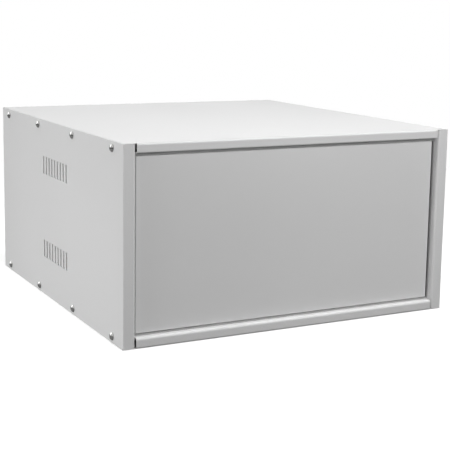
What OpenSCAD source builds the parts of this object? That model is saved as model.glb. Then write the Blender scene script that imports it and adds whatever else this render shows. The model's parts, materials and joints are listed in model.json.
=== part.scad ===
// Wall-mount data cabinet: a case of folded sheet steel with an inset door and 19-inch rails.
// The case stands on z = 0, its middle is on x = 0 and y = 0, and its front faces -Y.
// All sizes are in millimetres.

/* [Case] */
// Width over the side panels
case_w = 540; // [538:1:640]
// Depth from the front flanges to the rear flanges
case_d = 560; // [450:1:700]
// Height over the top and bottom panels
case_h = 285; // [240:1:420]
// Thickness of the folded case sheets and of the door
sheet_t = 1.2; // [1:0.1:1.5]
// How far the side panels stay below the top panel's face
seam_drop = 0.5; // [0.5:0.1:2]

/* [Folds] */
// Outer radius of the folds along the top and bottom panels
edge_r = 3; // [2:0.1:5]
// Outer radius of the upright folds of the side panels
side_edge_r = 1.6; // [1.6:0.1:4]
// Outer radius of the folds at the sides and bottom that turn into the door opening
lip_r = 4; // [2.5:0.1:6]
// Outer radius of the fold below the top panel's lip
top_lip_r = 2; // [1.6:0.1:2.5]
// Outer radius of the folds between the returns and the door stops
stop_r = 2.4; // [1.8:0.1:3]
// Rounding of the side flanges' outer corners
flange_corner_r = 3; // [1:0.1:5]
// Gap between sheets that meet at a notched corner
notch_gap = 0.6; // [0.5:0.1:1.5]

/* [Front frame] */
// Width of the side panels' front flanges
flange_w = 18; // [16:0.5:21]
// Height of the top panel's front lip
top_lip_h = 13.5; // [12:0.5:18]
// Height of the bottom panel's front lip
bottom_lip_h = 15.5; // [13:0.5:18]
// Gap between the ends of the lips and the side flanges
lip_end_gap = 1.8; // [1.2:0.1:3]
// How far the door stops reach into the opening
stop_w = 9; // [7:0.5:11]

/* [Case flanges] */
// Height of the flanges that the side panels are screwed to
side_flange_h = 22; // [18:1:26]
// Width of the flanges around the rear panel
rear_flange_w = 20; // [16:1:26]

/* [Side panel screws] */
// Screws in each row
screw_count = 4; // [3:1:6]
// Distance of the end screws from the front and back
screw_end = 40; // [36:1:60]
// Distance of each row from the top or bottom of the case
screw_inset = 10; // [9.5:0.5:12]
// Thread diameter of the screws, nuts and studs
thread_d = 6; // [5:1:6]
// Length of the screw shanks
screw_l = 12; // [11:1:16]
// Diameter of the pan heads
head_d = 12; // [10:0.5:14]
// Height of the pan heads
head_h = 4; // [3.2:0.1:5]
// Width across the flats of the nuts
nut_af = 10; // [9:0.5:10]
// Height of the nuts
nut_h = 5; // [4:0.5:6]
// Radial clearance of a screw in a sheet hole
hole_clearance = 0.3; // [0.2:0.1:0.5]

/* [Vents] */
// Louvres in each vent group
vent_count = 9; // [5:1:12]
// Width of a louvre
vent_w = 9; // [6:0.5:9.5]
// Height of a louvre
vent_h = 28; // [15:0.5:45]
// How far a louvre's free edge is pressed into the case
vent_press = 1.5; // [1.5:0.1:2.5]
// Distance between neighbouring louvres
vent_pitch = 13.3; // [11:0.1:18]
// Distance of the upper louvres above mid height
vent_rise = 70; // [50:1:75]
// Distance of the lower louvres below mid height
vent_fall = 66; // [50:1:75]

/* [Door] */
// How far the door's face lies behind the case's front
rebate_d = 10; // [7:0.5:14]
// Depth of the door's folded edges
door_edge_d = 15; // [13:0.5:18]
// Outer radius of the door's folds
door_r = 1.6; // [1.6:0.1:3]
// Gap on each side of the door
door_gap_side = 4; // [3.5:0.5:5]
// Gap above the door
door_gap_top = 5; // [3:0.5:6]
// Gap below the door
door_gap_bottom = 3; // [2:0.5:5]
// Gap between the door's folded edge and the door stops
stop_gap = 3; // [2.8:0.1:4]
// Width of the folded lip along the door's free edge
door_lip_w = 12; // [8:1:20]
// Width of the door's stiffener over its two feet
stiffener_w = 60; // [40:1:120]
// Depth of the door's stiffener
stiffener_d = 10; // [5:0.5:11]
// Thickness of the stiffener sheet
stiffener_t = 1; // [0.8:0.1:1.5]

/* [Door pivots] */
// Diameter of the pivot pins
pin_d = 4; // [3:0.5:4]
// Distance of the pivot axis from the door's hinged edge
pin_inset_x = 7; // [6.5:0.1:8]
// Distance of the pivot axis behind the door's face
pin_inset_y = 6; // [5.8:0.1:6.5]
// Radial clearance of a pin in its bush
pin_clearance = 0.06; // [0.03:0.01:0.1]
// Wall of the pivot bushes
bush_wall = 1.1; // [0.8:0.1:1.2]
// Length of the pivot bushes
bush_l = 12; // [8:1:20]
// Thickness of the pivot brackets
bracket_t = 2; // [1.5:0.5:3]
// Length of the pivot brackets
bracket_l = 30; // [24:1:60]
// Height of a magnet strip
magnet_h = 36; // [15:1:60]
// Width of a magnet strip
magnet_w = 6; // [4:0.5:6.5]
// Distance of the magnets above and below the middle of the door
magnet_offset = 60; // [40:1:85]

/* [Door seals] */
// Depth of the seal strips above and below the door
seal_d = 2.2; // [1.5:0.1:2.4]
// Depth of the seal strips beside the door
seal_side_d = 9; // [3:0.5:12]
// Gap between the seal strips and the door
seal_gap = 0.5; // [0.3:0.1:0.9]

/* [Rack rails] */
// Clearance between a rail and the outside of the case's side
rail_side_gap = 24.5; // [24:0.5:26]
// Distance of the rack holes' middle from the inner edge of a rail
rack_hole_inset = 7.05; // [6.5:0.05:7.5]
// Size of the square rack holes
rack_hole = 9.5; // [9:0.1:9.6]
// Sheet thickness of the rails
rail_t = 2; // [1.5:0.5:2]
// Width of a rail's holed face
rail_w = 20; // [19:0.5:20]
// Depth of a rail
rail_d = 30; // [26:1:45]
// Outer radius of the folds of the rails and runners
rail_r = 3; // [2.5:0.1:4]
// Distance of the front rails behind the case's front
front_rail_set = 60; // [50:1:120]
// Distance of the rear rails from the case's back
rear_rail_set = 84; // [70:1:150]
// Width of a runner's shelf
runner_w = 32; // [30:1:36]
// Height of a runner
runner_h = 20; // [18:1:24]
// Gap between a runner and the case's top or bottom
runner_gap = 4; // [3:0.5:5]
// Sheet thickness of the runners
runner_t = 2; // [1.5:0.5:2.5]
// Length along which a rail can be shifted on its runners
rail_shift = 60; // [20:5:80]

/* [Rear panel] */
// Thickness of the rear panel
rear_t = 2; // [1.5:0.1:3]
// Diameter of the wall bolt holes
wall_hole_d = 9; // [7:0.5:12]
// Spacing of the wall bolt holes across the case
wall_span_x = 400; // [300:1:440]
// Spacing of the wall bolt holes up the case
wall_span_z = 180; // [120:1:190]
// Width of the cable opening
cable_w = 160; // [80:1:240]
// Height of the cable opening
cable_h = 50; // [40:1:60]
// Corner radius of the cable opening
cable_r = 12; // [8:1:18]
// Distance of the cable opening's middle below the top of the case
cable_drop = 200; // [60:1:205]
// Thickness of the rubber edging's lips
edging_t = 1; // [0.8:0.1:1]
// Width of the rubber edging's lips
edging_w = 5; // [3:0.5:8]

/* [Earth stud] */
// Distance of the earth stud left of the middle
earth_x = 180; // [100:1:200]
// Distance of the earth stud from the case's back
earth_set = 70; // [50:1:120]
// Length of the earth stud
earth_l = 20; // [14:1:24]
// Diameter of the earth stud's collar
earth_collar_d = 13; // [12:0.5:18]
// Thickness of the earth stud's collar
earth_collar_t = 1.5; // [1:0.1:3]

/* [Hidden] */
$fn = 64;

case_grey = [0.80, 0.80, 0.80];
zinc = [0.72, 0.73, 0.74];
nickel = [0.82, 0.82, 0.80];
nylon = [0.90, 0.90, 0.86];
rubber_black = [0.08, 0.08, 0.08];
seal_grey = [0.30, 0.30, 0.30];
earth_brass = [0.78, 0.65, 0.35];

// Play between a nut or edging and what it sits on, so that round faces stay apart
fit_play = 0.1;
// A cut starts and ends this far outside what it cuts
cut_over = 1;
// Width of the cut around a louvre's three free edges
lance_gap = 0.3;
// A panel lies on flat seats this far clear of the fold beside them
fold_clear = 2;
// Stretches of one sheet that end at different places run this far into each other
sheet_lap = 1.2;
// The faces and middle planes of the case
half_w = case_w / 2;
front = -case_d / 2;
back = case_d / 2;
mid_z = case_h / 2;

// The door opening between the returns of the four front sheets
open_x = half_w - flange_w;
open_top = case_h - top_lip_h;
open_bottom = bottom_lip_h;
door_front = front + rebate_d;
door_back = door_front + door_edge_d;
stop_front = door_back + stop_gap;

// The door
door_x = open_x - door_gap_side;
door_top = open_top - door_gap_top;
door_bottom = open_bottom + door_gap_bottom;
door_mid_z = (door_top + door_bottom) / 2;

// The pivot axis, with the pins' reach into the door
pin_x = door_x - pin_inset_x;
pin_y = door_front + pin_inset_y;
pin_end_gap = 2;
pin_reach = bush_l - pin_end_gap;
pin_head_rim = 1.5;
pin_head_d = pin_d + 2 * pin_head_rim;
pin_head_h = 1.5;
bush_d = pin_d + 2 * (pin_clearance + bush_wall);
bush_collar_d = 2 * (pin_inset_y - door_r) - 2 * fit_play;
bush_collar_t = 1.5;
pivot_washer_d = pin_d + 2 * pin_head_rim;
pivot_washer_play = 0.1;
bracket_w = stop_front - front - lip_r - stop_r - notch_gap;
magnet_play = 0.3;

// The seal strips: the one on the hinged side leaves room for the door's edge to swing past
swing_r = norm([pin_inset_x - door_r, pin_inset_y - door_r]) + door_r;
seal_hinge_t = door_gap_side - (swing_r - pin_inset_x) - 2 * seal_gap;
seal_joint = 0.2;

// The rows of side screws
screw_pitch = (case_d - 2 * screw_end) / (screw_count - 1);
screw_ys = [for (i = [0 : screw_count - 1]) front + screw_end + i * screw_pitch];
screw_zs = [screw_inset, case_h - screw_inset];
screw_hole_d = thread_d + 2 * hole_clearance;
nut_bore_d = thread_d + 2 * fit_play;
recess_l = head_d * 0.55;
recess_w = 1.3;
recess_h = head_h * 0.55;
dome_h = head_h * 0.6;

// The runners, and the shelf on each that carries the rails
runner_x = half_w - 2 * sheet_t;
shelf_z = runner_gap + runner_h;
runner_front = stop_front + sheet_t + notch_gap;
runner_back = back - sheet_t - rear_t - runner_gap;
rail_out = half_w - rail_side_gap;
tab_margin = 8;
bolt_x = half_w - 2 * tab_margin;
bolt_y = rail_r + (rail_d - rail_r) / 2;
front_rail_y = front + front_rail_set;
rear_rail_y = back - rear_rail_set;
rail_bolt_ys = [front_rail_y + bolt_y, rear_rail_y - bolt_y];
bolt_head_h = 4;

// Rack holes repeat three to a unit, for as many units as the straight part of a rail holds
rack_unit = 44.45;
rack_steps = [6.35, 22.225, 38.1];
rack_units = floor((case_h - 2 * (shelf_z + rail_r)) / rack_unit);
rack_z0 = mid_z - rack_units * rack_unit / 2;
rack_hole_x = rail_out - rail_w + rack_hole_inset;

// The rear panel and its cable opening
rear_outer = back - sheet_t;
rear_inner = rear_outer - rear_t;
rear_x = half_w - sheet_t - max(side_edge_r - sheet_t, 0) - fold_clear;
rear_z = edge_r + fold_clear;
cable_z = case_h - cable_drop;
edging_wall = 1.5;

// Extrude a profile drawn on (y, z) along x
module along_x(from, to) {
    translate([from, 0, 0])
        rotate([90, 0, 90])
            linear_extrude(to - from)
                children();
}

// Extrude a profile drawn on (x, z) along y
module along_y(from, to) {
    translate([0, to, 0])
        rotate([90, 0, 0])
            linear_extrude(to - from)
                children();
}

// Extrude a profile drawn on (x, y) along z
module along_z(from, to) {
    translate([0, 0, from])
        linear_extrude(to - from)
            children();
}

// A rectangle given by two opposite corners
module rect(a, b) {
    translate([min(a[0], b[0]), min(a[1], b[1])])
        square([abs(b[0] - a[0]), abs(b[1] - a[1])]);
}

// A rectangle about the middle with four round corners
module round_rect(w, h, r) {
    square([w - 2 * r, h], center = true);
    square([w, h - 2 * r], center = true);
    for (x = [-1, 1], y = [-1, 1])
        translate([x * (w / 2 - r), y * (h / 2 - r)])
            circle(r);
}

// A quarter of a fold about its centre: quadrant 0 is +x +y, and the others follow anticlockwise
module fold(centre, r, t, quadrant) {
    translate(centre)
        rotate(90 * quadrant)
            intersection() {
                difference() {
                    circle(r);
                    circle(r - t);
                }
                square(r + cut_over);
            }
}

// A slot with round ends along y
module long_slot(l, w) {
    square([w, l], center = true);
    for (y = [-1, 1])
        translate([0, y * l / 2])
            circle(d = w);
}

// The same shape on the right-hand side of the case
module right_of() {
    mirror([1, 0, 0])
        children();
}

// The same shape at the bottom of the case
module bottom_of() {
    translate([0, 0, case_h])
        mirror([0, 0, 1])
            children();
}

// Front section of a lid sheet on (y, z), with its outer face on z = 0 and the case below it
module lip_section(lip_h, r) {
    rect([front + edge_r, -sheet_t], [stop_front, 0]);
    fold([front + edge_r, -edge_r], edge_r, sheet_t, 1);
    rect([front, -edge_r], [front + sheet_t, r - lip_h]);
    fold([front + r, r - lip_h], r, sheet_t, 2);
    rect([front + r, -lip_h], [front + r + sheet_lap, sheet_t - lip_h]);
}

// The return behind a lip and the door stop that ends it, on the same section
module return_section(lip_h, r) {
    stop_centre = stop_front + sheet_t - stop_r;
    rect([front + r, -lip_h], [stop_centre, sheet_t - lip_h]);
    fold([stop_centre, sheet_t - lip_h - stop_r], stop_r, sheet_t, 0);
    rect([stop_front, sheet_t - lip_h - stop_r], [stop_front + sheet_t, -lip_h - stop_w]);
}

// Rear section of a lid sheet on (y, z)
module rear_section() {
    rect([0, -sheet_t], [back - edge_r, 0]);
    fold([back - edge_r, -edge_r], edge_r, sheet_t, 0);
    rect([back - sheet_t, -edge_r], [back, -rear_flange_w]);
}

// Flange on the left of a lid sheet on (x, z)
module side_section() {
    x = sheet_t - half_w;
    rect([x + edge_r, -sheet_t], [x + edge_r + sheet_lap, 0]);
    fold([x + edge_r, -edge_r], edge_r, sheet_t, 1);
    rect([x, -edge_r], [x + sheet_t, -side_flange_h]);
}

// Holes for the side screws through both side flanges of a lid sheet
module flange_holes() {
    for (y = screw_ys)
        translate([0, y, -screw_inset])
            rotate([0, 90, 0])
                cylinder(d = screw_hole_d, h = case_w, center = true);
}

// A lid sheet with its outer face on z = 0: the plate, its flanges and its lip with a fold of radius r
module lid_sheet(lip_h, r) {
    lip_x = open_x - lip_end_gap;
    return_x = open_x - notch_gap;
    plate_x = half_w - sheet_t - edge_r;
    rear_flange_x = half_w - rear_flange_w - notch_gap;
    plate_front = front + sheet_t + notch_gap;
    plate_back = back - sheet_t - notch_gap;
    difference() {
        union() {
            along_z(-sheet_t, 0)
                rect([-plate_x, plate_front], [plate_x, plate_back]);
            along_x(-lip_x, lip_x)
                lip_section(lip_h, r);
            along_x(-return_x, return_x)
                return_section(lip_h, r);
            along_x(-rear_flange_x, rear_flange_x)
                rear_section();
            along_y(plate_front, rear_inner - notch_gap) {
                side_section();
                mirror([1, 0])
                    side_section();
            }
        }
        flange_holes();
    }
}

// A hole for a pivot pin through the return of a lid sheet
module pin_hole(lip_h) {
    translate([pin_x, pin_y, -lip_h - cut_over])
        cylinder(d = pin_d + 2 * fit_play, h = sheet_t + 2 * cut_over);
}

module top_panel() {
    color(case_grey)
        translate([0, 0, case_h])
            difference() {
                lid_sheet(top_lip_h, top_lip_r);
                pin_hole(top_lip_h);
            }
}

module bottom_panel() {
    color(case_grey)
        mirror([0, 0, 1])
            difference() {
                lid_sheet(bottom_lip_h, lip_r);
                pin_hole(bottom_lip_h);
            }
}

// Cut that rounds the outer corner of a side flange at height z, above it where up is 1
module flange_corner(z, up) {
    along_y(front - cut_over, front + side_edge_r)
        translate([-half_w, z])
            mirror([0, up > 0 ? 0 : 1])
                difference() {
                    rect([-cut_over, -flange_corner_r], [flange_corner_r, cut_over]);
                    translate([flange_corner_r, -flange_corner_r])
                        circle(flange_corner_r);
                }
}

// Place something at the middle of each louvre, on the left side panel's outer face
module at_louvres() {
    first_y = -(vent_count - 1) * vent_pitch / 2;
    for (i = [0 : vent_count - 1], z = [mid_z - vent_fall, mid_z + vent_rise])
        translate([-half_w, first_y + i * vent_pitch, z])
            children();
}

// The window that a louvre is lanced from, with the panel's outer face on x = 0
module louvre_window() {
    translate([sheet_t / 2, 0, 0])
        cube([sheet_t + 2 * cut_over, vent_w, vent_h], center = true);
}

// The tab of a louvre: it leaves the panel at its front edge and its rear edge is pressed inwards
module louvre_tab() {
    bend_y = -vent_w / 2;
    free_y = vent_w / 2 - lance_gap;
    along_z(lance_gap - vent_h / 2, vent_h / 2 - lance_gap)
        polygon([
            [0, bend_y - sheet_lap], [0, bend_y], [vent_press, free_y],
            [vent_press + sheet_t, free_y], [sheet_t, bend_y], [sheet_t, bend_y - sheet_lap]
        ]);
}

// The left side panel without its louvres: plate, front flange, return, door stop and rear flange
module side_sheet() {
    x = -half_w;
    top = case_h - seam_drop;
    foot = seam_drop;
    fold_y = front + lip_r;
    return_x = x + flange_w - sheet_t;
    stop_centre = [return_x + stop_r, stop_front + sheet_t - stop_r];
    return_z = sheet_t + notch_gap;
    stop_z = stop_w + notch_gap;
    difference() {
        union() {
            along_z(0, top)
                rect([x, front + side_edge_r], [x + sheet_t, back - side_edge_r]);
            along_z(foot, top) {
                rect([x, front + side_edge_r], [x + sheet_t, front + side_edge_r + sheet_lap]);
                fold([x + side_edge_r, front + side_edge_r], side_edge_r, sheet_t, 2);
                rect([x + side_edge_r, front], [x + flange_w - lip_r, front + sheet_t]);
                rect([x, back - side_edge_r], [x + sheet_t, back - side_edge_r - sheet_lap]);
                fold([x + side_edge_r, back - side_edge_r], side_edge_r, sheet_t, 1);
                rect([x + side_edge_r, back - sheet_t], [x + rear_flange_w, back]);
            }
            along_z(return_z, case_h - return_z) {
                rect([x + flange_w - lip_r, front], [x + flange_w - lip_r - sheet_lap, front + sheet_t]);
                fold([x + flange_w - lip_r, fold_y], lip_r, sheet_t, 3);
                rect([return_x, fold_y], [return_x + sheet_t, stop_centre[1]]);
            }
            along_z(open_bottom + stop_z, open_top - stop_z) {
                rect([return_x, stop_centre[1]], [return_x + sheet_t, stop_centre[1] - sheet_lap]);
                fold(stop_centre, stop_r, sheet_t, 1);
                rect([stop_centre[0], stop_front], [-open_x + stop_w, stop_front + sheet_t]);
            }
        }
        flange_corner(top, 1);
        flange_corner(foot, -1);
        at_louvres()
            louvre_window();
        for (y = screw_ys, z = screw_zs)
            translate([x - cut_over, y, z])
                rotate([0, 90, 0])
                    cylinder(d = screw_hole_d, h = sheet_t + 2 * cut_over);
    }
}

// The left side panel with its louvres
module louvred_side() {
    side_sheet();
    at_louvres()
        louvre_tab();
}

module left_side_panel() {
    color(case_grey)
        louvred_side();
}

module right_side_panel() {
    color(case_grey)
        right_of()
            louvred_side();
}

// The rear panel lies inside the rear flanges, with four wall bolt holes and the cable opening
module rear_panel() {
    color(case_grey)
        along_y(rear_inner, rear_outer)
            difference() {
                rect([-rear_x, rear_z], [rear_x, case_h - rear_z]);
                for (x = [-1, 1], z = [-1, 1])
                    translate([x * wall_span_x / 2, mid_z + z * wall_span_z / 2])
                        circle(d = wall_hole_d);
                translate([0, cable_z])
                    round_rect(cable_w, cable_h, cable_r);
            }
}

// A pan-head screw along z with its head's seat on z = 0 and its shank below
module pan_screw() {
    dome_r = (pow(head_d / 2, 2) + pow(dome_h, 2)) / (2 * dome_h);
    difference() {
        union() {
            cylinder(d = head_d, h = head_h - dome_h);
            intersection() {
                translate([0, 0, head_h - dome_r])
                    sphere(dome_r);
                cylinder(d = head_d, h = head_h + cut_over);
            }
            translate([0, 0, -screw_l])
                cylinder(d = thread_d, h = screw_l + head_h / 4);
        }
        for (turn = [0, 90])
            rotate(turn)
                translate([-recess_l / 2, -recess_w / 2, head_h - recess_h])
                    cube([recess_l, recess_w, head_h]);
    }
}

// A hexagon nut along z with its seat on z = 0
module hex_nut() {
    difference() {
        cylinder(d = nut_af / cos(30), h = nut_h, $fn = 6);
        translate([0, 0, -cut_over])
            cylinder(d = nut_bore_d, h = nut_h + 2 * cut_over);
    }
}

// Place a fastener at each screw of the left side panel, turned so that its +z points outwards
module at_side_screws(x) {
    for (y = screw_ys, z = screw_zs)
        translate([x, y, z])
            rotate([0, -90, 0])
                children();
}

module left_panel_screws() {
    color(nickel)
        at_side_screws(-half_w)
            pan_screw();
}

module right_panel_screws() {
    color(nickel)
        right_of()
            at_side_screws(-half_w)
                pan_screw();
}

// The nuts close the stack of side panel, lid flange and runner
module side_nuts() {
    at_side_screws(-runner_x + runner_t)
        mirror([0, 0, 1])
            hex_nut();
}

module left_panel_nuts() {
    color(zinc)
        side_nuts();
}

module right_panel_nuts() {
    color(zinc)
        right_of()
            side_nuts();
}

// The top left runner: an angle along the case whose shelf carries the rails
module runner() {
    x = -runner_x;
    foot = case_h - shelf_z;
    difference() {
        along_y(runner_front, runner_back) {
            rect([x, foot + rail_r], [x + runner_t, case_h - runner_gap]);
            fold([x + rail_r, foot + rail_r], rail_r, runner_t, 2);
            rect([x + rail_r, foot], [x + runner_w, foot + runner_t]);
        }
        for (y = screw_ys)
            translate([x - cut_over, y, case_h - screw_inset])
                rotate([0, 90, 0])
                    cylinder(d = screw_hole_d, h = runner_t + 2 * cut_over);
        for (y = rail_bolt_ys)
            translate([-bolt_x, y, foot - cut_over])
                linear_extrude(runner_t + 2 * cut_over)
                    long_slot(rail_shift, screw_hole_d);
    }
}

module top_left_runner() {
    color(zinc)
        runner();
}

module top_right_runner() {
    color(zinc)
        right_of()
            runner();
}

module bottom_left_runner() {
    color(zinc)
        bottom_of()
            runner();
}

module bottom_right_runner() {
    color(zinc)
        right_of()
            bottom_of()
                runner();
}

// Tab at the top of a left rail, folded outwards against the runner's shelf
module rail_tab() {
    top = case_h - shelf_z;
    inner = -rail_out + rail_t;
    difference() {
        along_y(rail_r, rail_d) {
            rect([inner - rail_t, top - rail_r], [inner, top - rail_r - sheet_lap]);
            fold([inner - rail_r, top - rail_r], rail_r, rail_t, 0);
            rect([inner - rail_r, top - rail_t], [-bolt_x - tab_margin, top]);
        }
        translate([-bolt_x, bolt_y, top - rail_t - cut_over])
            cylinder(d = screw_hole_d, h = rail_t + 2 * cut_over);
    }
}

// A left rail with its holed face on y = 0, and its web behind the outer edge
module rail() {
    x = -rail_out;
    foot = shelf_z + rail_r;
    head = case_h - shelf_z - rail_r;
    difference() {
        along_z(foot, head) {
            rect([x + rail_r, 0], [x + rail_w, rail_t]);
            fold([x + rail_r, rail_r], rail_r, rail_t, 2);
            rect([x, rail_r], [x + rail_t, rail_d]);
        }
        for (unit = [0 : rack_units - 1], step = rack_steps)
            translate([-rack_hole_x, rail_t / 2, rack_z0 + unit * rack_unit + step])
                cube([rack_hole, rail_t + 2 * cut_over, rack_hole], center = true);
    }
    rail_tab();
    bottom_of()
        rail_tab();
}

module front_left_rail() {
    color(zinc)
        translate([0, front_rail_y, 0])
            rail();
}

module front_right_rail() {
    color(zinc)
        right_of()
            translate([0, front_rail_y, 0])
                rail();
}

module rear_left_rail() {
    color(zinc)
        translate([0, rear_rail_y, 0])
            mirror([0, 1, 0])
                rail();
}

module rear_right_rail() {
    color(zinc)
        right_of()
            translate([0, rear_rail_y, 0])
                mirror([0, 1, 0])
                    rail();
}

// A hexagon bolt along z with its head's seat on z = 0 and its shank above
module hex_bolt() {
    translate([0, 0, -bolt_head_h])
        cylinder(d = nut_af / cos(30), h = bolt_head_h, $fn = 6);
    translate([0, 0, -bolt_head_h / 2])
        cylinder(d = thread_d, h = screw_l + bolt_head_h / 2);
}

// Place a fastener under every rail tab at the top, and upside down over every tab at the bottom
module at_rail_bolts(z) {
    for (x = [-bolt_x, bolt_x], y = rail_bolt_ys) {
        translate([x, y, z])
            children();
        bottom_of()
            translate([x, y, z])
                children();
    }
}

module rail_bolts() {
    color(nickel)
        at_rail_bolts(case_h - shelf_z - rail_t)
            hex_bolt();
}

module rail_nuts() {
    color(zinc)
        at_rail_bolts(case_h - shelf_z + runner_t)
            hex_nut();
}

// Rubber edging pressed over the rim of the cable opening
module cable_edging() {
    color(rubber_black)
        translate([0, 0, cable_z])
            difference() {
                union() {
                    along_y(rear_outer, rear_outer + edging_t)
                        round_rect(cable_w + 2 * edging_w, cable_h + 2 * edging_w, cable_r + edging_w);
                    along_y(rear_inner - edging_t, rear_inner)
                        round_rect(cable_w + 2 * edging_w, cable_h + 2 * edging_w, cable_r + edging_w);
                    along_y(rear_inner - edging_t / 2, rear_outer + edging_t / 2)
                        round_rect(cable_w - 2 * fit_play, cable_h - 2 * fit_play, cable_r - fit_play);
                }
                along_y(rear_inner - edging_t - cut_over, rear_outer + edging_t + cut_over)
                    round_rect(cable_w - 2 * edging_wall, cable_h - 2 * edging_wall, cable_r - edging_wall);
            }
}

// Place a piece on the bottom panel at the earth point
module at_earth_point() {
    translate([-earth_x, back - earth_set, sheet_t])
        children();
}

module earth_stud() {
    color(earth_brass)
        at_earth_point() {
            cylinder(d = earth_collar_d, h = earth_collar_t);
            cylinder(d = thread_d, h = earth_l);
        }
}

module earth_nut() {
    color(earth_brass)
        at_earth_point()
            translate([0, 0, earth_collar_t])
                hex_nut();
}

// The bracket on the hidden face of the top panel's return that holds the upper pivot pin
module pivot_bracket(return_z) {
    difference() {
        along_z(return_z, return_z + bracket_t)
            rect([open_x - notch_gap, pin_y - bracket_w / 2],
                [open_x - notch_gap - bracket_l, pin_y + bracket_w / 2 - stop_r]);
        translate([pin_x, pin_y, return_z - cut_over])
            cylinder(d = pin_d + 2 * fit_play, h = bracket_t + 2 * cut_over);
    }
}

// The upper pivot pin, headed above its bracket and reaching down to z = tip
module pivot_pin(return_z, tip) {
    seat = return_z + bracket_t;
    translate([pin_x, pin_y, tip])
        cylinder(d = pin_d, h = seat + pin_head_h / 2 - tip);
    translate([pin_x, pin_y, seat])
        cylinder(d = pin_head_d, h = pin_head_h);
}

module top_pivot_bracket() {
    color(zinc)
        pivot_bracket(open_top + sheet_t);
}

module bottom_pivot_bracket() {
    color(zinc)
        bottom_of()
            pivot_bracket(case_h - open_bottom + sheet_t);
}

module top_pivot_pin() {
    color(nickel)
        pivot_pin(open_top + sheet_t, door_top - pin_reach);
}

module bottom_pivot_pin() {
    color(nickel)
        bottom_of()
            pivot_pin(case_h - open_bottom + sheet_t, case_h - door_bottom - pin_reach);
}

// Nylon washer on the bottom panel's return that carries the door
module pivot_washer() {
    color(nylon)
        translate([pin_x, pin_y, open_bottom])
            difference() {
                cylinder(d = pivot_washer_d, h = door_gap_bottom - pivot_washer_play);
                translate([0, 0, -cut_over])
                    cylinder(d = pin_d + 2 * fit_play, h = door_gap_bottom + 2 * cut_over);
            }
}

// Magnet strips on the left door stop, which hold the door's folded lip
module door_magnets() {
    strip_x = stop_w - open_x;
    color(rubber_black)
        for (z = [door_mid_z - magnet_offset, door_mid_z + magnet_offset])
            along_z(z - magnet_h / 2, z + magnet_h / 2)
                rect([strip_x - magnet_w, stop_front - stop_gap + magnet_play], [strip_x, stop_front]);
}

// Seal strips on the four returns, level with the door's face and just clear of its edges
module door_seals() {
    left_x = -door_x - seal_gap;
    hinge_x = open_x - seal_hinge_t;
    color(seal_grey) {
        along_y(door_front, door_front + seal_side_d) {
            rect([-open_x, open_bottom + seal_joint], [left_x, open_top - seal_joint]);
            rect([hinge_x, open_bottom + seal_joint], [open_x, open_top - seal_joint]);
        }
        along_y(door_front, door_front + seal_d) {
            rect([left_x + seal_joint, door_top + seal_gap], [hinge_x - seal_joint, open_top]);
            rect([left_x + seal_joint, open_bottom], [hinge_x - seal_joint, door_bottom - seal_gap]);
        }
    }
}

// A closed rectangle on (u, v) whose corners on the v = v0 side are round
module front_round_rect(u0, u1, v0, v1, r) {
    rect([u0 + r, v0], [u1 - r, v1]);
    rect([u0, v0 + r], [u1, v1]);
    for (u = [u0 + r, u1 - r])
        translate([u, v0 + r])
            circle(r);
}

// A block as deep as from y0 to y1 whose front edges are rounded, inset from the door's outline
module door_block(inset, y0, y1, r) {
    intersection() {
        along_z(door_bottom + inset, door_top - inset)
            front_round_rect(inset - door_x, door_x - inset, y0, y1, r);
        along_x(inset - door_x, door_x - inset)
            mirror([1, -1])
                front_round_rect(door_bottom + inset, door_top - inset, y0, y1, r);
    }
}

// The door is a folded pan, open at the back, with a lip along its free left edge
module door_panel() {
    color(case_grey)
        difference() {
            door_block(0, door_front, door_back, door_r);
            difference() {
                door_block(sheet_t, door_front + sheet_t, door_back + cut_over, door_r - sheet_t);
                along_z(door_bottom, door_top)
                    rect([-door_x, door_back - sheet_t], [door_lip_w - door_x, door_back + 2 * cut_over]);
            }
            for (z = [door_bottom, door_top])
                translate([pin_x, pin_y, z])
                    cylinder(d = bush_d + 2 * fit_play, h = 2 * (sheet_t + cut_over), center = true);
        }
}

// Hat section up the middle of the door, with its two feet on the inside of the door's face
module door_stiffener() {
    y = door_front + sheet_t;
    foot_w = stiffener_w / 4;
    crown = stiffener_w / 2 - foot_w;
    color(case_grey)
        along_z(door_bottom + door_r + fold_clear, door_top - door_r - fold_clear) {
            rect([-crown, y + stiffener_d - stiffener_t], [crown, y + stiffener_d]);
            for (side = [-1, 1]) {
                rect([side * (crown - stiffener_t), y], [side * crown, y + stiffener_d]);
                rect([side * (crown - stiffener_t), y], [side * (crown + foot_w), y + stiffener_t]);
            }
        }
}

// A collared bush that hangs in the door's upper edge
module pivot_bush(edge_z) {
    translate([pin_x, pin_y, edge_z])
        difference() {
            union() {
                translate([0, 0, -bush_l])
                    cylinder(d = bush_d, h = bush_l);
                translate([0, 0, -sheet_t - bush_collar_t])
                    cylinder(d = bush_collar_d, h = bush_collar_t);
            }
            translate([0, 0, -bush_l - cut_over])
                cylinder(d = pin_d + 2 * pin_clearance, h = bush_l + 2 * cut_over);
        }
}

module top_pivot_bush() {
    color(nylon)
        pivot_bush(door_top);
}

module bottom_pivot_bush() {
    color(nylon)
        bottom_of()
            pivot_bush(case_h - door_bottom);
}

top_panel();
bottom_panel();
left_side_panel();
right_side_panel();
rear_panel();
left_panel_screws();
right_panel_screws();
left_panel_nuts();
right_panel_nuts();
top_left_runner();
top_right_runner();
bottom_left_runner();
bottom_right_runner();
front_left_rail();
front_right_rail();
rear_left_rail();
rear_right_rail();
rail_bolts();
rail_nuts();
cable_edging();
earth_stud();
earth_nut();
top_pivot_bracket();
bottom_pivot_bracket();
top_pivot_pin();
bottom_pivot_pin();
pivot_washer();
door_magnets();
door_seals();
door_panel();
door_stiffener();
top_pivot_bush();
bottom_pivot_bush();
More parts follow.
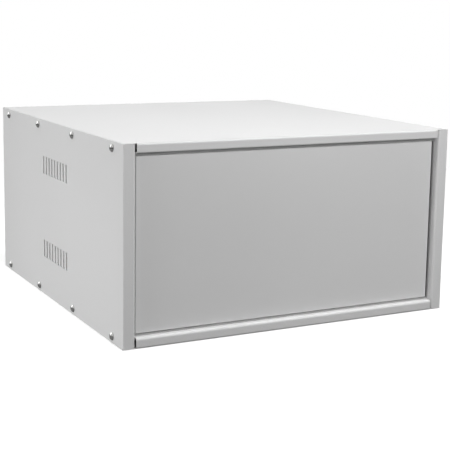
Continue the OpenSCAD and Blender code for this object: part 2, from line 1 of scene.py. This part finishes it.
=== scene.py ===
"""Wall-mount data cabinet: finishes, finer fasteners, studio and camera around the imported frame."""
import json
import math

import bmesh
import bpy
from mathutils import Matrix, Vector


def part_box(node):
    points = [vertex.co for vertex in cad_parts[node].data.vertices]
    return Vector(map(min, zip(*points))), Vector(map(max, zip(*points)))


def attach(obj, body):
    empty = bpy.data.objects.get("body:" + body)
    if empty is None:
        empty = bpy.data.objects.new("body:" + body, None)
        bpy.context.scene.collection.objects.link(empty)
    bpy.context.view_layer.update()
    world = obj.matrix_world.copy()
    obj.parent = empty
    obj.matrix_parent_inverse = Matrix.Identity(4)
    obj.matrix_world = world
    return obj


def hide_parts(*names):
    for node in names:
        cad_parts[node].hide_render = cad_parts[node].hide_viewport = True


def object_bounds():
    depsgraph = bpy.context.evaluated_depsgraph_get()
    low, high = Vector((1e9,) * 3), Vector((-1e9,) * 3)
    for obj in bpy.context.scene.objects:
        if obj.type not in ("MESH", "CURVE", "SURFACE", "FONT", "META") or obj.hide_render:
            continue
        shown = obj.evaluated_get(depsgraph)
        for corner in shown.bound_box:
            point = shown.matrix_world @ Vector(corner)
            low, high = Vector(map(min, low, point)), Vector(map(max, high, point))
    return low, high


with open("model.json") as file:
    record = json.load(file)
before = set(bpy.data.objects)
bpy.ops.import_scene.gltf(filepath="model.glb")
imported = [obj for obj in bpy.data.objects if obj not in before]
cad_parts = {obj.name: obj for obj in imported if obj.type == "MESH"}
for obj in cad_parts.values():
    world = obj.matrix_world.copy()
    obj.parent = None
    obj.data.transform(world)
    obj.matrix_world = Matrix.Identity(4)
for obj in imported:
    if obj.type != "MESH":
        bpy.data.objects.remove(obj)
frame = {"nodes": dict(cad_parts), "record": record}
cad_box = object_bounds()
nodes = frame["nodes"]

MM = 0.001
QUARTER_TURN = math.radians(90)
HALF_TURN = math.radians(180)
FULL_TURN = 2 * math.pi

# Mesh detail: steps of round bodies, distances that merge vertices, and the angle that keeps an edge sharp
ROUND_STEPS = 48
SPUN_MERGE = 0.001 * MM
THREAD_MERGE = 0.01 * MM
PIECE_MERGE = 0.0005 * MM
SHARP_EDGE = math.radians(32)
# How far a cutting shape reaches past the face that it cuts
CUT_OVER = 0.5 * MM

# M6 threads, with the ends of root, rising flank and crest as shares of the pitch
THREAD_R = 3 * MM
THREAD_PITCH = 1 * MM
THREAD_DEPTH = 0.55 * MM
THREAD_STEPS = 28
ROOT_END, CREST_START, CREST_END = 0.2, 0.5, 0.7

# Pan heads: a rim, a dome stepped from its edge to its top, and a cross recess that narrows downwards
HEAD_R = 6 * MM
HEAD_EDGE = 0.35 * MM
RIM_SHARE = 0.2
DOME_STEPS = 12
DOME_FIRST, DOME_STEP = 0.96, 0.08
RECESS_L = 1.1 * HEAD_R
RECESS_W = 1.3 * MM
RECESS_DEPTH_SHARE = 0.55
RECESS_TAPER = 0.62
SHANK_IN_HEAD_SHARE = 0.3
SCREWS_IN_ROW = 4

# Hexagon nuts and bolts: corners turned off, bores countersunk; the rails that they hold; the earth collar
HEX_FLATS = 10 * MM
HEX_R = HEX_FLATS / 2 / math.cos(math.radians(30))
HEX_FACE_R = 0.94 * HEX_FLATS / 2
HEX_CUT_R = HEX_R + 0.2 * MM
HEX_CHAMFER = math.radians(30)
NUT_H = 5 * MM
NUT_BORE_R = 3.1 * MM
NUT_SINK = 0.4 * MM
BOLT_HEAD_H = 4 * MM
RAIL_T = 2 * MM
COLLAR_EDGE = 0.25 * MM

# Finishes: the range that a noise fills, and the scales of finer or broader noise beside the main one
NOISE_LOW, NOISE_HIGH = 0.3, 0.7
SPECKS_PER_PEEL = 2.6
CLOUDS_PER_GRAIN = 0.06

# Studio: what the world and the floor give, and what bright metal mirrors of them
WORLD_LIGHT = 0.10
WORLD_MIRRORED_LOW, WORLD_MIRRORED_HIGH = 0.15, 0.65
MIRRORED_RISE = 0.35
FLOOR_BOUNCE = 0.10
FLOOR_SEEN = 0.6
FLOOR_GLOW = 0.6
FLOOR_MIRRORED = 0.12
FLOOR_REACH = 20
FLOOR_DROP = 0.5 * MM
FLOOR_FADE_START, FLOOR_FADE_END = 0.7, 1.6

# Soft lights: name, place, aim, width and height, watts, and whether bright metal mirrors them
SOFTBOXES = (
    ("overhead_softbox", (0.0, -0.355, 2.0), (0, -0.355, 0), (2.0, 0.12), 26.0, False),
    ("overhead_rear_softbox", (0.0, 1.2, 1.7), (0, 0.25, 0.2), (2.2, 0.8), 7.0, False),
    ("left_softbox", (-1.3, -0.1, 0.07), (-0.25, -0.1, 0.06), (1.1, 0.12), 7.0, False),
    ("left_rear_softbox", (-2.2, 2.4, 1.35), (-0.25, 0, 0.14), (3.0, 2.2), 27, True),
    ("front_softbox", (0.25, -1.5, 0.62), (0, -0.28, 0.14), (1.2, 0.3), 6.8, False),
    ("brow_softbox", (0.2, -1.0, 0.75), (0, -0.28, 0.24), (0.8, 0.2), 2.35, False),
    ("right_softbox", (2.4, 0.4, 0.7), (0, 0, 0.14), (1.4, 1.0), 11, True),
    ("rear_softbox", (-0.9, 2.5, 0.8), (0, 0, 0.14), (1.4, 1.0), 6.5, False),
)

# The photograph's viewpoint, fitted to the edges of the case
IMAGE_PX = 450
CAMERA_AT = Vector((-0.8329, -1.6575, 0.4696))
CAMERA_TURN = math.radians(27.457)
CAMERA_DIP = math.radians(9.108)
CAMERA_ROLL = math.radians(0.917)
FOCAL_PX = 1125.0
OPTICAL_AXIS_Y_PX = 185
SENSOR_MM = 36
CLIP_NEAR, CLIP_FAR = 0.05, 100


# Mesh tools

def outline(bm, profile):
    """A chain of edges through (radius, height) points, ready to be spun around the z axis."""
    points = [bm.verts.new((r, 0, z)) for r, z in profile]
    edges = [bm.edges.new(pair) for pair in zip(points, points[1:])]
    return points + edges


def spun(profile):
    """A closed round body from (radius, height) points that start and end on the z axis."""
    bm = bmesh.new()
    bmesh.ops.spin(
        bm, geom=outline(bm, profile), cent=(0, 0, 0), axis=(0, 0, 1),
        angle=FULL_TURN, steps=ROUND_STEPS, use_merge=True,
    )
    bmesh.ops.remove_doubles(bm, verts=bm.verts, dist=SPUN_MERGE)
    bmesh.ops.recalc_face_normals(bm, faces=bm.faces)
    return bm


def hex_prism(low, high):
    """A hexagon prism along z, with a corner on the x axis as on the CAD nuts."""
    bm = bmesh.new()
    middle = Matrix.Translation((0, 0, (low + high) / 2))
    bmesh.ops.create_cone(
        bm, cap_ends=True, segments=6, radius1=HEX_R, radius2=HEX_R, depth=high - low,
        matrix=middle @ Matrix.Rotation(QUARTER_TURN, 4, "Z"),
    )
    return bm


def threaded_rod(low, high):
    """A rod along z with a right-hand thread and a chamfered lower end."""
    turns = math.ceil((high - low) / THREAD_PITCH) + 2
    root = THREAD_R - THREAD_DEPTH
    one_turn = ((root, 0), (root, ROOT_END), (THREAD_R, CREST_START), (THREAD_R, CREST_END))
    profile = []
    for turn in range(turns):
        foot = low + (turn - 1) * THREAD_PITCH
        profile += [(r, foot + share * THREAD_PITCH) for r, share in one_turn]
    bm = bmesh.new()
    bmesh.ops.spin(
        bm, geom=outline(bm, profile), cent=(0, 0, 0), axis=(0, 0, 1),
        dvec=(0, 0, THREAD_PITCH / THREAD_STEPS),
        angle=FULL_TURN, steps=THREAD_STEPS, use_merge=False,
    )
    bmesh.ops.remove_doubles(bm, verts=bm.verts, dist=THREAD_MERGE)
    for z, out in ((low, -1), (high, 1)):
        cut = bmesh.ops.bisect_plane(
            bm, geom=bm.verts[:] + bm.edges[:] + bm.faces[:], plane_co=(0, 0, z),
            plane_no=(0, 0, out), clear_outer=True,
        )
        rim = [e for e in cut["geom_cut"] if isinstance(e, bmesh.types.BMEdge)]
        bmesh.ops.edgeloop_fill(bm, edges=rim)
    for v in bm.verts:
        allowed = root + (v.co.z - low)
        radius = v.co.xy.length
        if radius > allowed:
            v.co.xy *= allowed / radius
    bmesh.ops.recalc_face_normals(bm, faces=bm.faces)
    return bm


def turned_rod(length):
    """A threaded rod that stands on z = 0 with its chamfered end at the top."""
    rod = threaded_rod(-length, 0)
    bmesh.ops.rotate(rod, verts=rod.verts, matrix=Matrix.Rotation(HALF_TURN, 3, "X"))
    return rod


def as_mesh(bm):
    """The finished mesh of a bmesh, which is freed."""
    mesh = bpy.data.meshes.new("shape")
    bm.to_mesh(mesh)
    bm.free()
    return mesh


def linked(name, content):
    """An object for a mesh, lamp or camera, linked to the scene."""
    holder = bpy.data.objects.new(name, content)
    bpy.context.scene.collection.objects.link(holder)
    return holder


def carved(body, tool, operation):
    """The body cut by the tool, or kept only inside it, by a Boolean modifier."""
    holders = [linked("shape", as_mesh(bm)) for bm in (body, tool)]
    modifier = holders[0].modifiers.new("carve", "BOOLEAN")
    modifier.operation = operation
    modifier.solver = "EXACT"
    modifier.object = holders[1]
    graph = bpy.context.evaluated_depsgraph_get()
    result = bmesh.new()
    result.from_mesh(holders[0].evaluated_get(graph).to_mesh())
    for holder in holders:
        mesh = holder.data
        bpy.data.objects.remove(holder)
        bpy.data.meshes.remove(mesh)
    return result


def joined(*parts):
    """Several closed shells in one mesh."""
    whole = bmesh.new()
    for part in parts:
        mesh = as_mesh(part)
        whole.from_mesh(mesh)
        bpy.data.meshes.remove(mesh)
    return as_mesh(whole)


def copies(mesh, places):
    """The mesh once at each place."""
    whole = bmesh.new()
    for place in places:
        first = len(whole.verts)
        whole.from_mesh(mesh)
        whole.verts.ensure_lookup_table()
        bmesh.ops.transform(whole, matrix=place, verts=whole.verts[first:])
    return whole


def new_piece(name, bm, slot, stands_for):
    """Link a finished mesh as a piece of the case that stands for a CAD node."""
    bmesh.ops.remove_doubles(bm, verts=bm.verts, dist=PIECE_MERGE)
    mesh = as_mesh(bm)
    mesh.polygons.foreach_set("use_smooth", [True] * len(mesh.polygons))
    mesh.set_sharp_from_angle(angle=SHARP_EDGE)
    piece = linked(name, mesh)
    mesh.materials.append(FINISHES[slot])
    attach(piece, "case")
    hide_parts(stands_for)


# Material tools

def add_node(tree, kind, inputs=None, **settings):
    """A shader node with its settings made and its inputs set or linked."""
    node = tree.nodes.new(kind)
    for key, value in settings.items():
        setattr(node, key, value)
    for key, value in (inputs or {}).items():
        if isinstance(value, bpy.types.NodeSocket):
            tree.links.new(value, node.inputs[key])
        else:
            node.inputs[key].default_value = value
    return node


def new_group(name, inputs, outputs):
    """An empty shader node group, its inner inputs and its inner outputs."""
    group = bpy.data.node_groups.new(name, "ShaderNodeTree")
    for socket in inputs:
        kind = "NodeSocketVector" if socket == "Vector" else "NodeSocketFloat"
        group.interface.new_socket(socket, in_out="INPUT", socket_type=kind)
    for socket in outputs:
        group.interface.new_socket(socket, in_out="OUTPUT", socket_type="NodeSocketFloat")
    entry = group.nodes.new("NodeGroupInput")
    leave = group.nodes.new("NodeGroupOutput")
    return group, entry.outputs, leave.inputs


def math_node(tree, operation, a, b):
    return add_node(tree, "ShaderNodeMath", {0: a, 1: b}, operation=operation).outputs[0]


def spread(tree, value, low, high, start=0.0, end=1.0, course="LINEAR"):
    """The value's way from start to end, turned into low to high."""
    return add_node(tree, "ShaderNodeMapRange", {
        "Value": value, "From Min": start, "From Max": end, "To Min": low, "To Max": high,
    }, interpolation_type=course).outputs[0]


def swing(tree, value, amount):
    """Noise turned into minus amount to plus amount."""
    low = math_node(tree, "MULTIPLY", amount, -1.0)
    return spread(tree, value, low, amount, NOISE_LOW, NOISE_HIGH)


def noise(tree, vector, scale, detail=2.0):
    return add_node(tree, "ShaderNodeTexNoise", {
        "Vector": vector, "Scale": scale, "Detail": detail,
    }).outputs["Fac"]


def powder_coat_group():
    """Sprayed and baked powder: fine specks, orange peel and broad thicker patches."""
    group, given, result = new_group(
        "powder_coat", ["Vector", "Peel Scale", "Specks", "Patches"], ["Tone", "Gloss", "Height"])
    peel = noise(group, given["Vector"], given["Peel Scale"])
    speck_scale = math_node(group, "MULTIPLY", given["Peel Scale"], SPECKS_PER_PEEL)
    specks = noise(group, given["Vector"], speck_scale, detail=1.0)
    patches = noise(group, given["Vector"], scale=6.0, detail=3.0)
    speck_tone = swing(group, specks, given["Specks"])
    patch_tone = swing(group, patches, given["Patches"])
    both = math_node(group, "ADD", speck_tone, patch_tone)
    group.links.new(math_node(group, "ADD", both, 1.0), result["Tone"])
    gloss = math_node(group, "ADD", swing(group, patches, amount=0.03), swing(group, peel, amount=0.04))
    group.links.new(gloss, result["Gloss"])
    group.links.new(peel, result["Height"])
    return group


def plating_group():
    """Plated metal: fine grain from the bath and cloudy stains."""
    group, given, result = new_group(
        "plating", ["Vector", "Grain Scale", "Stains"], ["Tone", "Gloss", "Height"])
    grain = noise(group, given["Vector"], given["Grain Scale"], detail=3.0)
    cloud_scale = math_node(group, "MULTIPLY", given["Grain Scale"], CLOUDS_PER_GRAIN)
    clouds = noise(group, given["Vector"], cloud_scale, detail=4.0)
    both = math_node(group, "ADD", swing(group, clouds, given["Stains"]), swing(group, grain, amount=0.04))
    group.links.new(math_node(group, "ADD", both, 1.0), result["Tone"])
    group.links.new(swing(group, clouds, amount=0.08), result["Gloss"])
    group.links.new(grain, result["Height"])
    return group


def moulded_group():
    """Moulded plastic and rubber: the fine pitting of the mould and slight clouding."""
    group, given, result = new_group(
        "moulded", ["Vector", "Pit Scale", "Clouding"], ["Tone", "Gloss", "Height"])
    pits = noise(group, given["Vector"], given["Pit Scale"])
    clouds = noise(group, given["Vector"], scale=40.0, detail=3.0)
    group.links.new(math_node(group, "ADD", swing(group, clouds, given["Clouding"]), 1.0), result["Tone"])
    group.links.new(swing(group, pits, amount=0.06), result["Gloss"])
    group.links.new(pits, result["Height"])
    return group


def new_finish(name, group, values, colour, roughness, bump, shader):
    """A material whose tone, gloss and bump come from a node group."""
    material = bpy.data.materials.new(name)
    material.use_nodes = True
    tree = material.node_tree
    principled = tree.nodes["Principled BSDF"]
    place = add_node(tree, "ShaderNodeTexCoord").outputs["Object"]
    effect = add_node(tree, "ShaderNodeGroup", node_tree=group)
    tree.links.new(place, effect.inputs["Vector"])
    for socket, value in values.items():
        effect.inputs[socket].default_value = value
    tinted = add_node(tree, "ShaderNodeVectorMath", {
        0: colour, "Scale": effect.outputs["Tone"],
    }, operation="SCALE").outputs[0]
    tree.links.new(tinted, principled.inputs["Base Color"])
    rough = math_node(tree, "ADD", effect.outputs["Gloss"], roughness)
    tree.links.new(rough, principled.inputs["Roughness"])
    relief = add_node(tree, "ShaderNodeBump", {
        "Height": effect.outputs["Height"], "Distance": bump, "Strength": 1.0,
    }).outputs[0]
    tree.links.new(relief, principled.inputs["Normal"])
    for socket, value in shader.items():
        principled.inputs[socket].default_value = value
    return material


def make_finishes():
    """The finish of each slot: effect, its values, colour, roughness, bump height and other sockets."""
    powder, plating, moulded = powder_coat_group(), plating_group(), moulded_group()
    looks = {
        "case_paint": (
            powder, {"Peel Scale": 450.0, "Specks": 0.012, "Patches": 0.006},
            (0.76, 0.76, 0.76), 0.46, 0.12 * MM, {}),
        "door_paint": (
            powder, {"Peel Scale": 900.0, "Specks": 0.006, "Patches": 0.008},
            (0.775, 0.775, 0.775), 0.40, 0.006 * MM, {}),
        "zinc_plate": (
            plating, {"Grain Scale": 900.0, "Stains": 0.08},
            (0.66, 0.67, 0.69), 0.38, 0.006 * MM, {"Metallic": 1.0}),
        "bright_nickel": (
            plating, {"Grain Scale": 1500.0, "Stains": 0.03},
            (0.75, 0.75, 0.74), 0.18, 0.002 * MM, {"Metallic": 1.0}),
        "nylon": (
            moulded, {"Pit Scale": 1600.0, "Clouding": 0.02},
            (0.80, 0.79, 0.73), 0.45, 0.006 * MM, {}),
        "edging_rubber": (
            moulded, {"Pit Scale": 1200.0, "Clouding": 0.12},
            (0.025, 0.025, 0.026), 0.68, 0.02 * MM, {"Specular IOR Level": 0.35}),
        # The foam seal round the door is real, but its grey is set darker than the paint as painted shade:
        # it stands in for the shade in the gap round the door.
        "seal_foam": (
            moulded, {"Pit Scale": 1400.0, "Clouding": 0.06},
            (0.42, 0.42, 0.42), 0.85, 0.02 * MM, {"Specular IOR Level": 0.2}),
        "magnet_strip": (
            moulded, {"Pit Scale": 900.0, "Clouding": 0.10},
            (0.045, 0.042, 0.040), 0.62, 0.012 * MM, {}),
        "earth_brass": (
            plating, {"Grain Scale": 1000.0, "Stains": 0.06},
            (0.72, 0.52, 0.24), 0.30, 0.004 * MM, {"Metallic": 1.0}),
    }
    return {name: new_finish(name, *look) for name, look in looks.items()}


FINISHES = make_finishes()
for subpart in frame["record"]["subparts"]:
    mesh = nodes[subpart["node"]].data
    mesh.materials.clear()
    mesh.materials.append(FINISHES[subpart["material_slot"]])


# Fasteners

def pan_head(height):
    """A pan head on z = 0 with a rounded rim, a domed top and a tapered cross recess."""
    rim_h = RIM_SHARE * height
    dome_h = height - rim_h
    dome_r = (HEAD_R ** 2 + dome_h ** 2) / (2 * dome_h)
    dome_turn = math.asin(HEAD_R / dome_r)
    profile = [(0, 0), (HEAD_R - HEAD_EDGE, 0), (HEAD_R, HEAD_EDGE), (HEAD_R, rim_h - HEAD_EDGE)]
    for step in range(DOME_STEPS):
        turn = dome_turn * (DOME_FIRST - step * DOME_STEP)
        profile.append((dome_r * math.sin(turn), height - dome_r + dome_r * math.cos(turn)))
    profile.append((0, height))
    head = spun(profile)
    recess_depth = RECESS_DEPTH_SHARE * height
    for turn in (0, QUARTER_TURN):
        wing = bmesh.new()
        bmesh.ops.create_cube(wing, size=1)
        for v in wing.verts:
            upper = v.co.z > 0
            taper = 1 if upper else RECESS_TAPER
            v.co.x *= RECESS_L * taper
            v.co.y *= RECESS_W * taper
            v.co.z = height + (CUT_OVER if upper else -recess_depth)
        bmesh.ops.rotate(wing, verts=wing.verts, matrix=Matrix.Rotation(turn, 3, "Z"))
        head = carved(head, wing, "DIFFERENCE")
    return head


def chamfered_hex(low, high, both_ends):
    """A hexagon whose corners are turned off at 30 degrees, as on nuts and bolt heads."""
    drop = (HEX_CUT_R - HEX_FACE_R) * math.tan(HEX_CHAMFER)
    low_end = [(0, low), (HEX_FACE_R, low), (HEX_CUT_R, low + drop)]
    high_end = [(HEX_CUT_R, high - drop), (HEX_FACE_R, high), (0, high)]
    if not both_ends:
        high_end = [(HEX_CUT_R, high), (0, high)]
    return carved(hex_prism(low, high), spun(low_end + high_end), "INTERSECT")


def hex_nut():
    """A nut on z = 0 with a bore that is countersunk at both ends."""
    wide = NUT_BORE_R + NUT_SINK + CUT_OVER
    bore = spun([
        (0, -CUT_OVER), (wide, -CUT_OVER), (NUT_BORE_R, NUT_SINK),
        (NUT_BORE_R, NUT_H - NUT_SINK), (wide, NUT_H + CUT_OVER), (0, NUT_H + CUT_OVER),
    ])
    return carved(chamfered_hex(0, NUT_H, True), bore, "DIFFERENCE")


def rows(box, margin_y, margin_z):
    """The middles (y, z) of the side screws or nuts inside a node's box."""
    low, high = box
    first, last = low.y + margin_y, high.y - margin_y
    step = (last - first) / (SCREWS_IN_ROW - 1)
    return [
        (first + i * step, z)
        for i in range(SCREWS_IN_ROW) for z in (low.z + margin_z, high.z - margin_z)
    ]


def make_side_fasteners(side, sign):
    """Pan-head screws and nuts of one side panel; sign is -1 on the left and 1 on the right."""
    outwards = Matrix.Rotation(sign * QUARTER_TURN, 4, "Y")
    inner, outer = (0, 1) if sign > 0 else (1, 0)
    screw_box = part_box(f"{side}_panel_screws")
    panel_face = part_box(f"{side}_side_panel")[outer].x
    head_h = abs(screw_box[outer].x - panel_face)
    shank_l = abs(screw_box[inner].x - panel_face)
    screw = joined(pan_head(head_h), threaded_rod(-shank_l, SHANK_IN_HEAD_SHARE * head_h))
    places = [
        Matrix.Translation((panel_face, y, z)) @ outwards
        for y, z in rows(screw_box, HEAD_R, HEAD_R)
    ]
    new_piece(f"{side}_pan_screws", copies(screw, places), "bright_nickel", f"{side}_panel_screws")
    nut_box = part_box(f"{side}_panel_nuts")
    places = [
        Matrix.Translation((nut_box[inner].x, y, z)) @ outwards
        for y, z in rows(nut_box, HEX_FLATS / 2, HEX_R)
    ]
    new_piece(f"{side}_hex_nuts", copies(as_mesh(hex_nut()), places), "zinc_plate", f"{side}_panel_nuts")


def rail_ends(xs, ys, top_z, bottom_z):
    """Places at the ends of the four rails: upright at the top and turned over at the bottom."""
    turned = Matrix.Rotation(HALF_TURN, 4, "X")
    places = []
    for x in xs:
        for y in ys:
            places.append(Matrix.Translation((x, y, top_z)))
            places.append(Matrix.Translation((x, y, bottom_z)) @ turned)
    return places


def make_rail_fasteners():
    """Hexagon bolts through the rail tabs and the runner shelves, with nuts on the far side."""
    low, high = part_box("rail_bolts")
    xs = (low.x + HEX_R, high.x - HEX_R)
    ys = (low.y + HEX_FLATS / 2, high.y - HEX_FLATS / 2)
    rail_low, rail_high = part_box("front_left_rail")
    top_seat, bottom_seat = rail_high.z - RAIL_T, rail_low.z + RAIL_T
    bolt = joined(chamfered_hex(-BOLT_HEAD_H, 0, False), turned_rod(high.z - top_seat))
    places = rail_ends(xs, ys, top_seat, bottom_seat)
    new_piece("rail_hex_bolts", copies(bolt, places), "bright_nickel", "rail_bolts")
    low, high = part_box("rail_nuts")
    places = rail_ends(xs, ys, high.z - NUT_H, low.z + NUT_H)
    new_piece("rail_hex_nuts", copies(as_mesh(hex_nut()), places), "zinc_plate", "rail_nuts")


def make_earth_point():
    """The earth stud with its collar, and its nut."""
    low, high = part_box("earth_stud")
    at = Matrix.Translation(((low.x + high.x) / 2, (low.y + high.y) / 2, low.z))
    collar_r = (high.x - low.x) / 2
    collar_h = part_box("earth_nut")[0].z - low.z
    collar = spun([
        (0, 0), (collar_r, 0), (collar_r, collar_h - COLLAR_EDGE),
        (collar_r - COLLAR_EDGE, collar_h), (0, collar_h),
    ])
    stud = joined(collar, turned_rod(high.z - low.z))
    new_piece("threaded_earth_stud", copies(stud, [at]), "earth_brass", "earth_stud")
    raised = at @ Matrix.Translation((0, 0, collar_h))
    new_piece("earth_hex_nut", copies(as_mesh(hex_nut()), [raised]), "earth_brass", "earth_nut")


for side, sign in (("left", -1), ("right", 1)):
    make_side_fasteners(side, sign)
make_rail_fasteners()
make_earth_point()


# Studio and camera

def make_world():
    """White where the camera sees it, paler upwards in reflections and an even weak light elsewhere."""
    world = bpy.data.worlds.new("studio")
    bpy.context.scene.world = world
    world.use_nodes = True
    tree = world.node_tree
    path = add_node(tree, "ShaderNodeLightPath").outputs
    way = add_node(tree, "ShaderNodeTexCoord").outputs["Generated"]
    rise = add_node(tree, "ShaderNodeSeparateXYZ", {0: way}).outputs["Z"]
    mirrored = spread(
        tree, rise, WORLD_MIRRORED_LOW, WORLD_MIRRORED_HIGH, end=MIRRORED_RISE, course="SMOOTHSTEP")
    level = spread(tree, path["Is Glossy Ray"], WORLD_LIGHT, mirrored)
    strength = math_node(tree, "MAXIMUM", level, path["Is Camera Ray"])
    sky = tree.nodes["Background"]
    sky.inputs["Color"].default_value = (1, 1, 1, 1)
    tree.links.new(strength, sky.inputs["Strength"])


def make_floor():
    """A pale floor that keeps the object's shadow, is white further off and shows in bright metal."""
    bm = bmesh.new()
    bmesh.ops.create_grid(bm, x_segments=1, y_segments=1, size=FLOOR_REACH)
    bmesh.ops.translate(bm, verts=bm.verts, vec=(0, 0, cad_box[0].z - FLOOR_DROP))
    floor = linked("floor", as_mesh(bm))
    material = bpy.data.materials.new("pale_floor")
    material.use_nodes = True
    tree = material.node_tree
    tree.nodes.remove(tree.nodes["Principled BSDF"])
    path = add_node(tree, "ShaderNodeLightPath").outputs
    seen = path["Is Camera Ray"]
    tone = spread(tree, seen, FLOOR_BOUNCE, FLOOR_SEEN)
    lit = add_node(tree, "ShaderNodeBsdfDiffuse", {"Color": tone})
    place = add_node(tree, "ShaderNodeTexCoord").outputs["Object"]
    away = add_node(tree, "ShaderNodeVectorMath", {0: place}, operation="LENGTH").outputs["Value"]
    far = spread(tree, away, 0.0, 1.0, FLOOR_FADE_START, FLOOR_FADE_END, course="SMOOTHSTEP")
    mirrored = spread(tree, far, FLOOR_MIRRORED, 0.0)
    glow = add_node(tree, "ShaderNodeEmission", {
        "Strength": math_node(
            tree, "ADD", math_node(tree, "MULTIPLY", seen, FLOOR_GLOW),
            math_node(tree, "MULTIPLY", path["Is Glossy Ray"], mirrored)),
    })
    near = add_node(tree, "ShaderNodeAddShader", {0: lit.outputs[0], 1: glow.outputs[0]})
    white = add_node(tree, "ShaderNodeEmission", {"Strength": 1.0})
    whole = add_node(tree, "ShaderNodeMixShader", {
        0: math_node(tree, "MULTIPLY", far, seen), 1: near.outputs[0], 2: white.outputs[0],
    })
    tree.links.new(whole.outputs[0], tree.nodes["Material Output"].inputs["Surface"])
    floor.data.materials.append(material)


def make_softbox(name, at, aim, size, watts, mirrored):
    """A rectangular soft light at a point, turned towards another, and seen in bright metal or not."""
    lamp = bpy.data.lights.new(name, "AREA")
    lamp.shape = "RECTANGLE"
    lamp.size, lamp.size_y = size
    lamp.energy = watts
    holder = linked(name, lamp)
    holder.location = at
    holder.rotation_mode = "QUATERNION"
    holder.rotation_quaternion = (Vector(aim) - Vector(at)).to_track_quat("-Z", "Y")
    holder.visible_camera = False
    holder.visible_glossy = mirrored


def make_camera():
    """The photograph's camera: turned right, dipped and slightly rolled, with its axis above the middle."""
    turn, dip = CAMERA_TURN, CAMERA_DIP
    forward = Vector((math.sin(turn) * math.cos(dip), math.cos(turn) * math.cos(dip), -math.sin(dip)))
    right = Vector((math.cos(turn), -math.sin(turn), 0))
    up = right.cross(forward)
    across = right * math.cos(CAMERA_ROLL) + up * math.sin(CAMERA_ROLL)
    upright = up * math.cos(CAMERA_ROLL) - right * math.sin(CAMERA_ROLL)
    camera = linked("camera", bpy.data.cameras.new("camera"))
    camera.matrix_world = Matrix.Translation(CAMERA_AT) @ Matrix(
        (across, upright, -forward)).transposed().to_4x4()
    camera.data.sensor_width = SENSOR_MM
    camera.data.lens = SENSOR_MM * FOCAL_PX / IMAGE_PX
    camera.data.shift_y = OPTICAL_AXIS_Y_PX / IMAGE_PX - 0.5
    camera.data.clip_start, camera.data.clip_end = CLIP_NEAR, CLIP_FAR
    bpy.context.scene.camera = camera


make_world()
make_floor()
for softbox in SOFTBOXES:
    make_softbox(*softbox)
make_camera()
bpy.context.scene.view_settings.view_transform = "Standard"
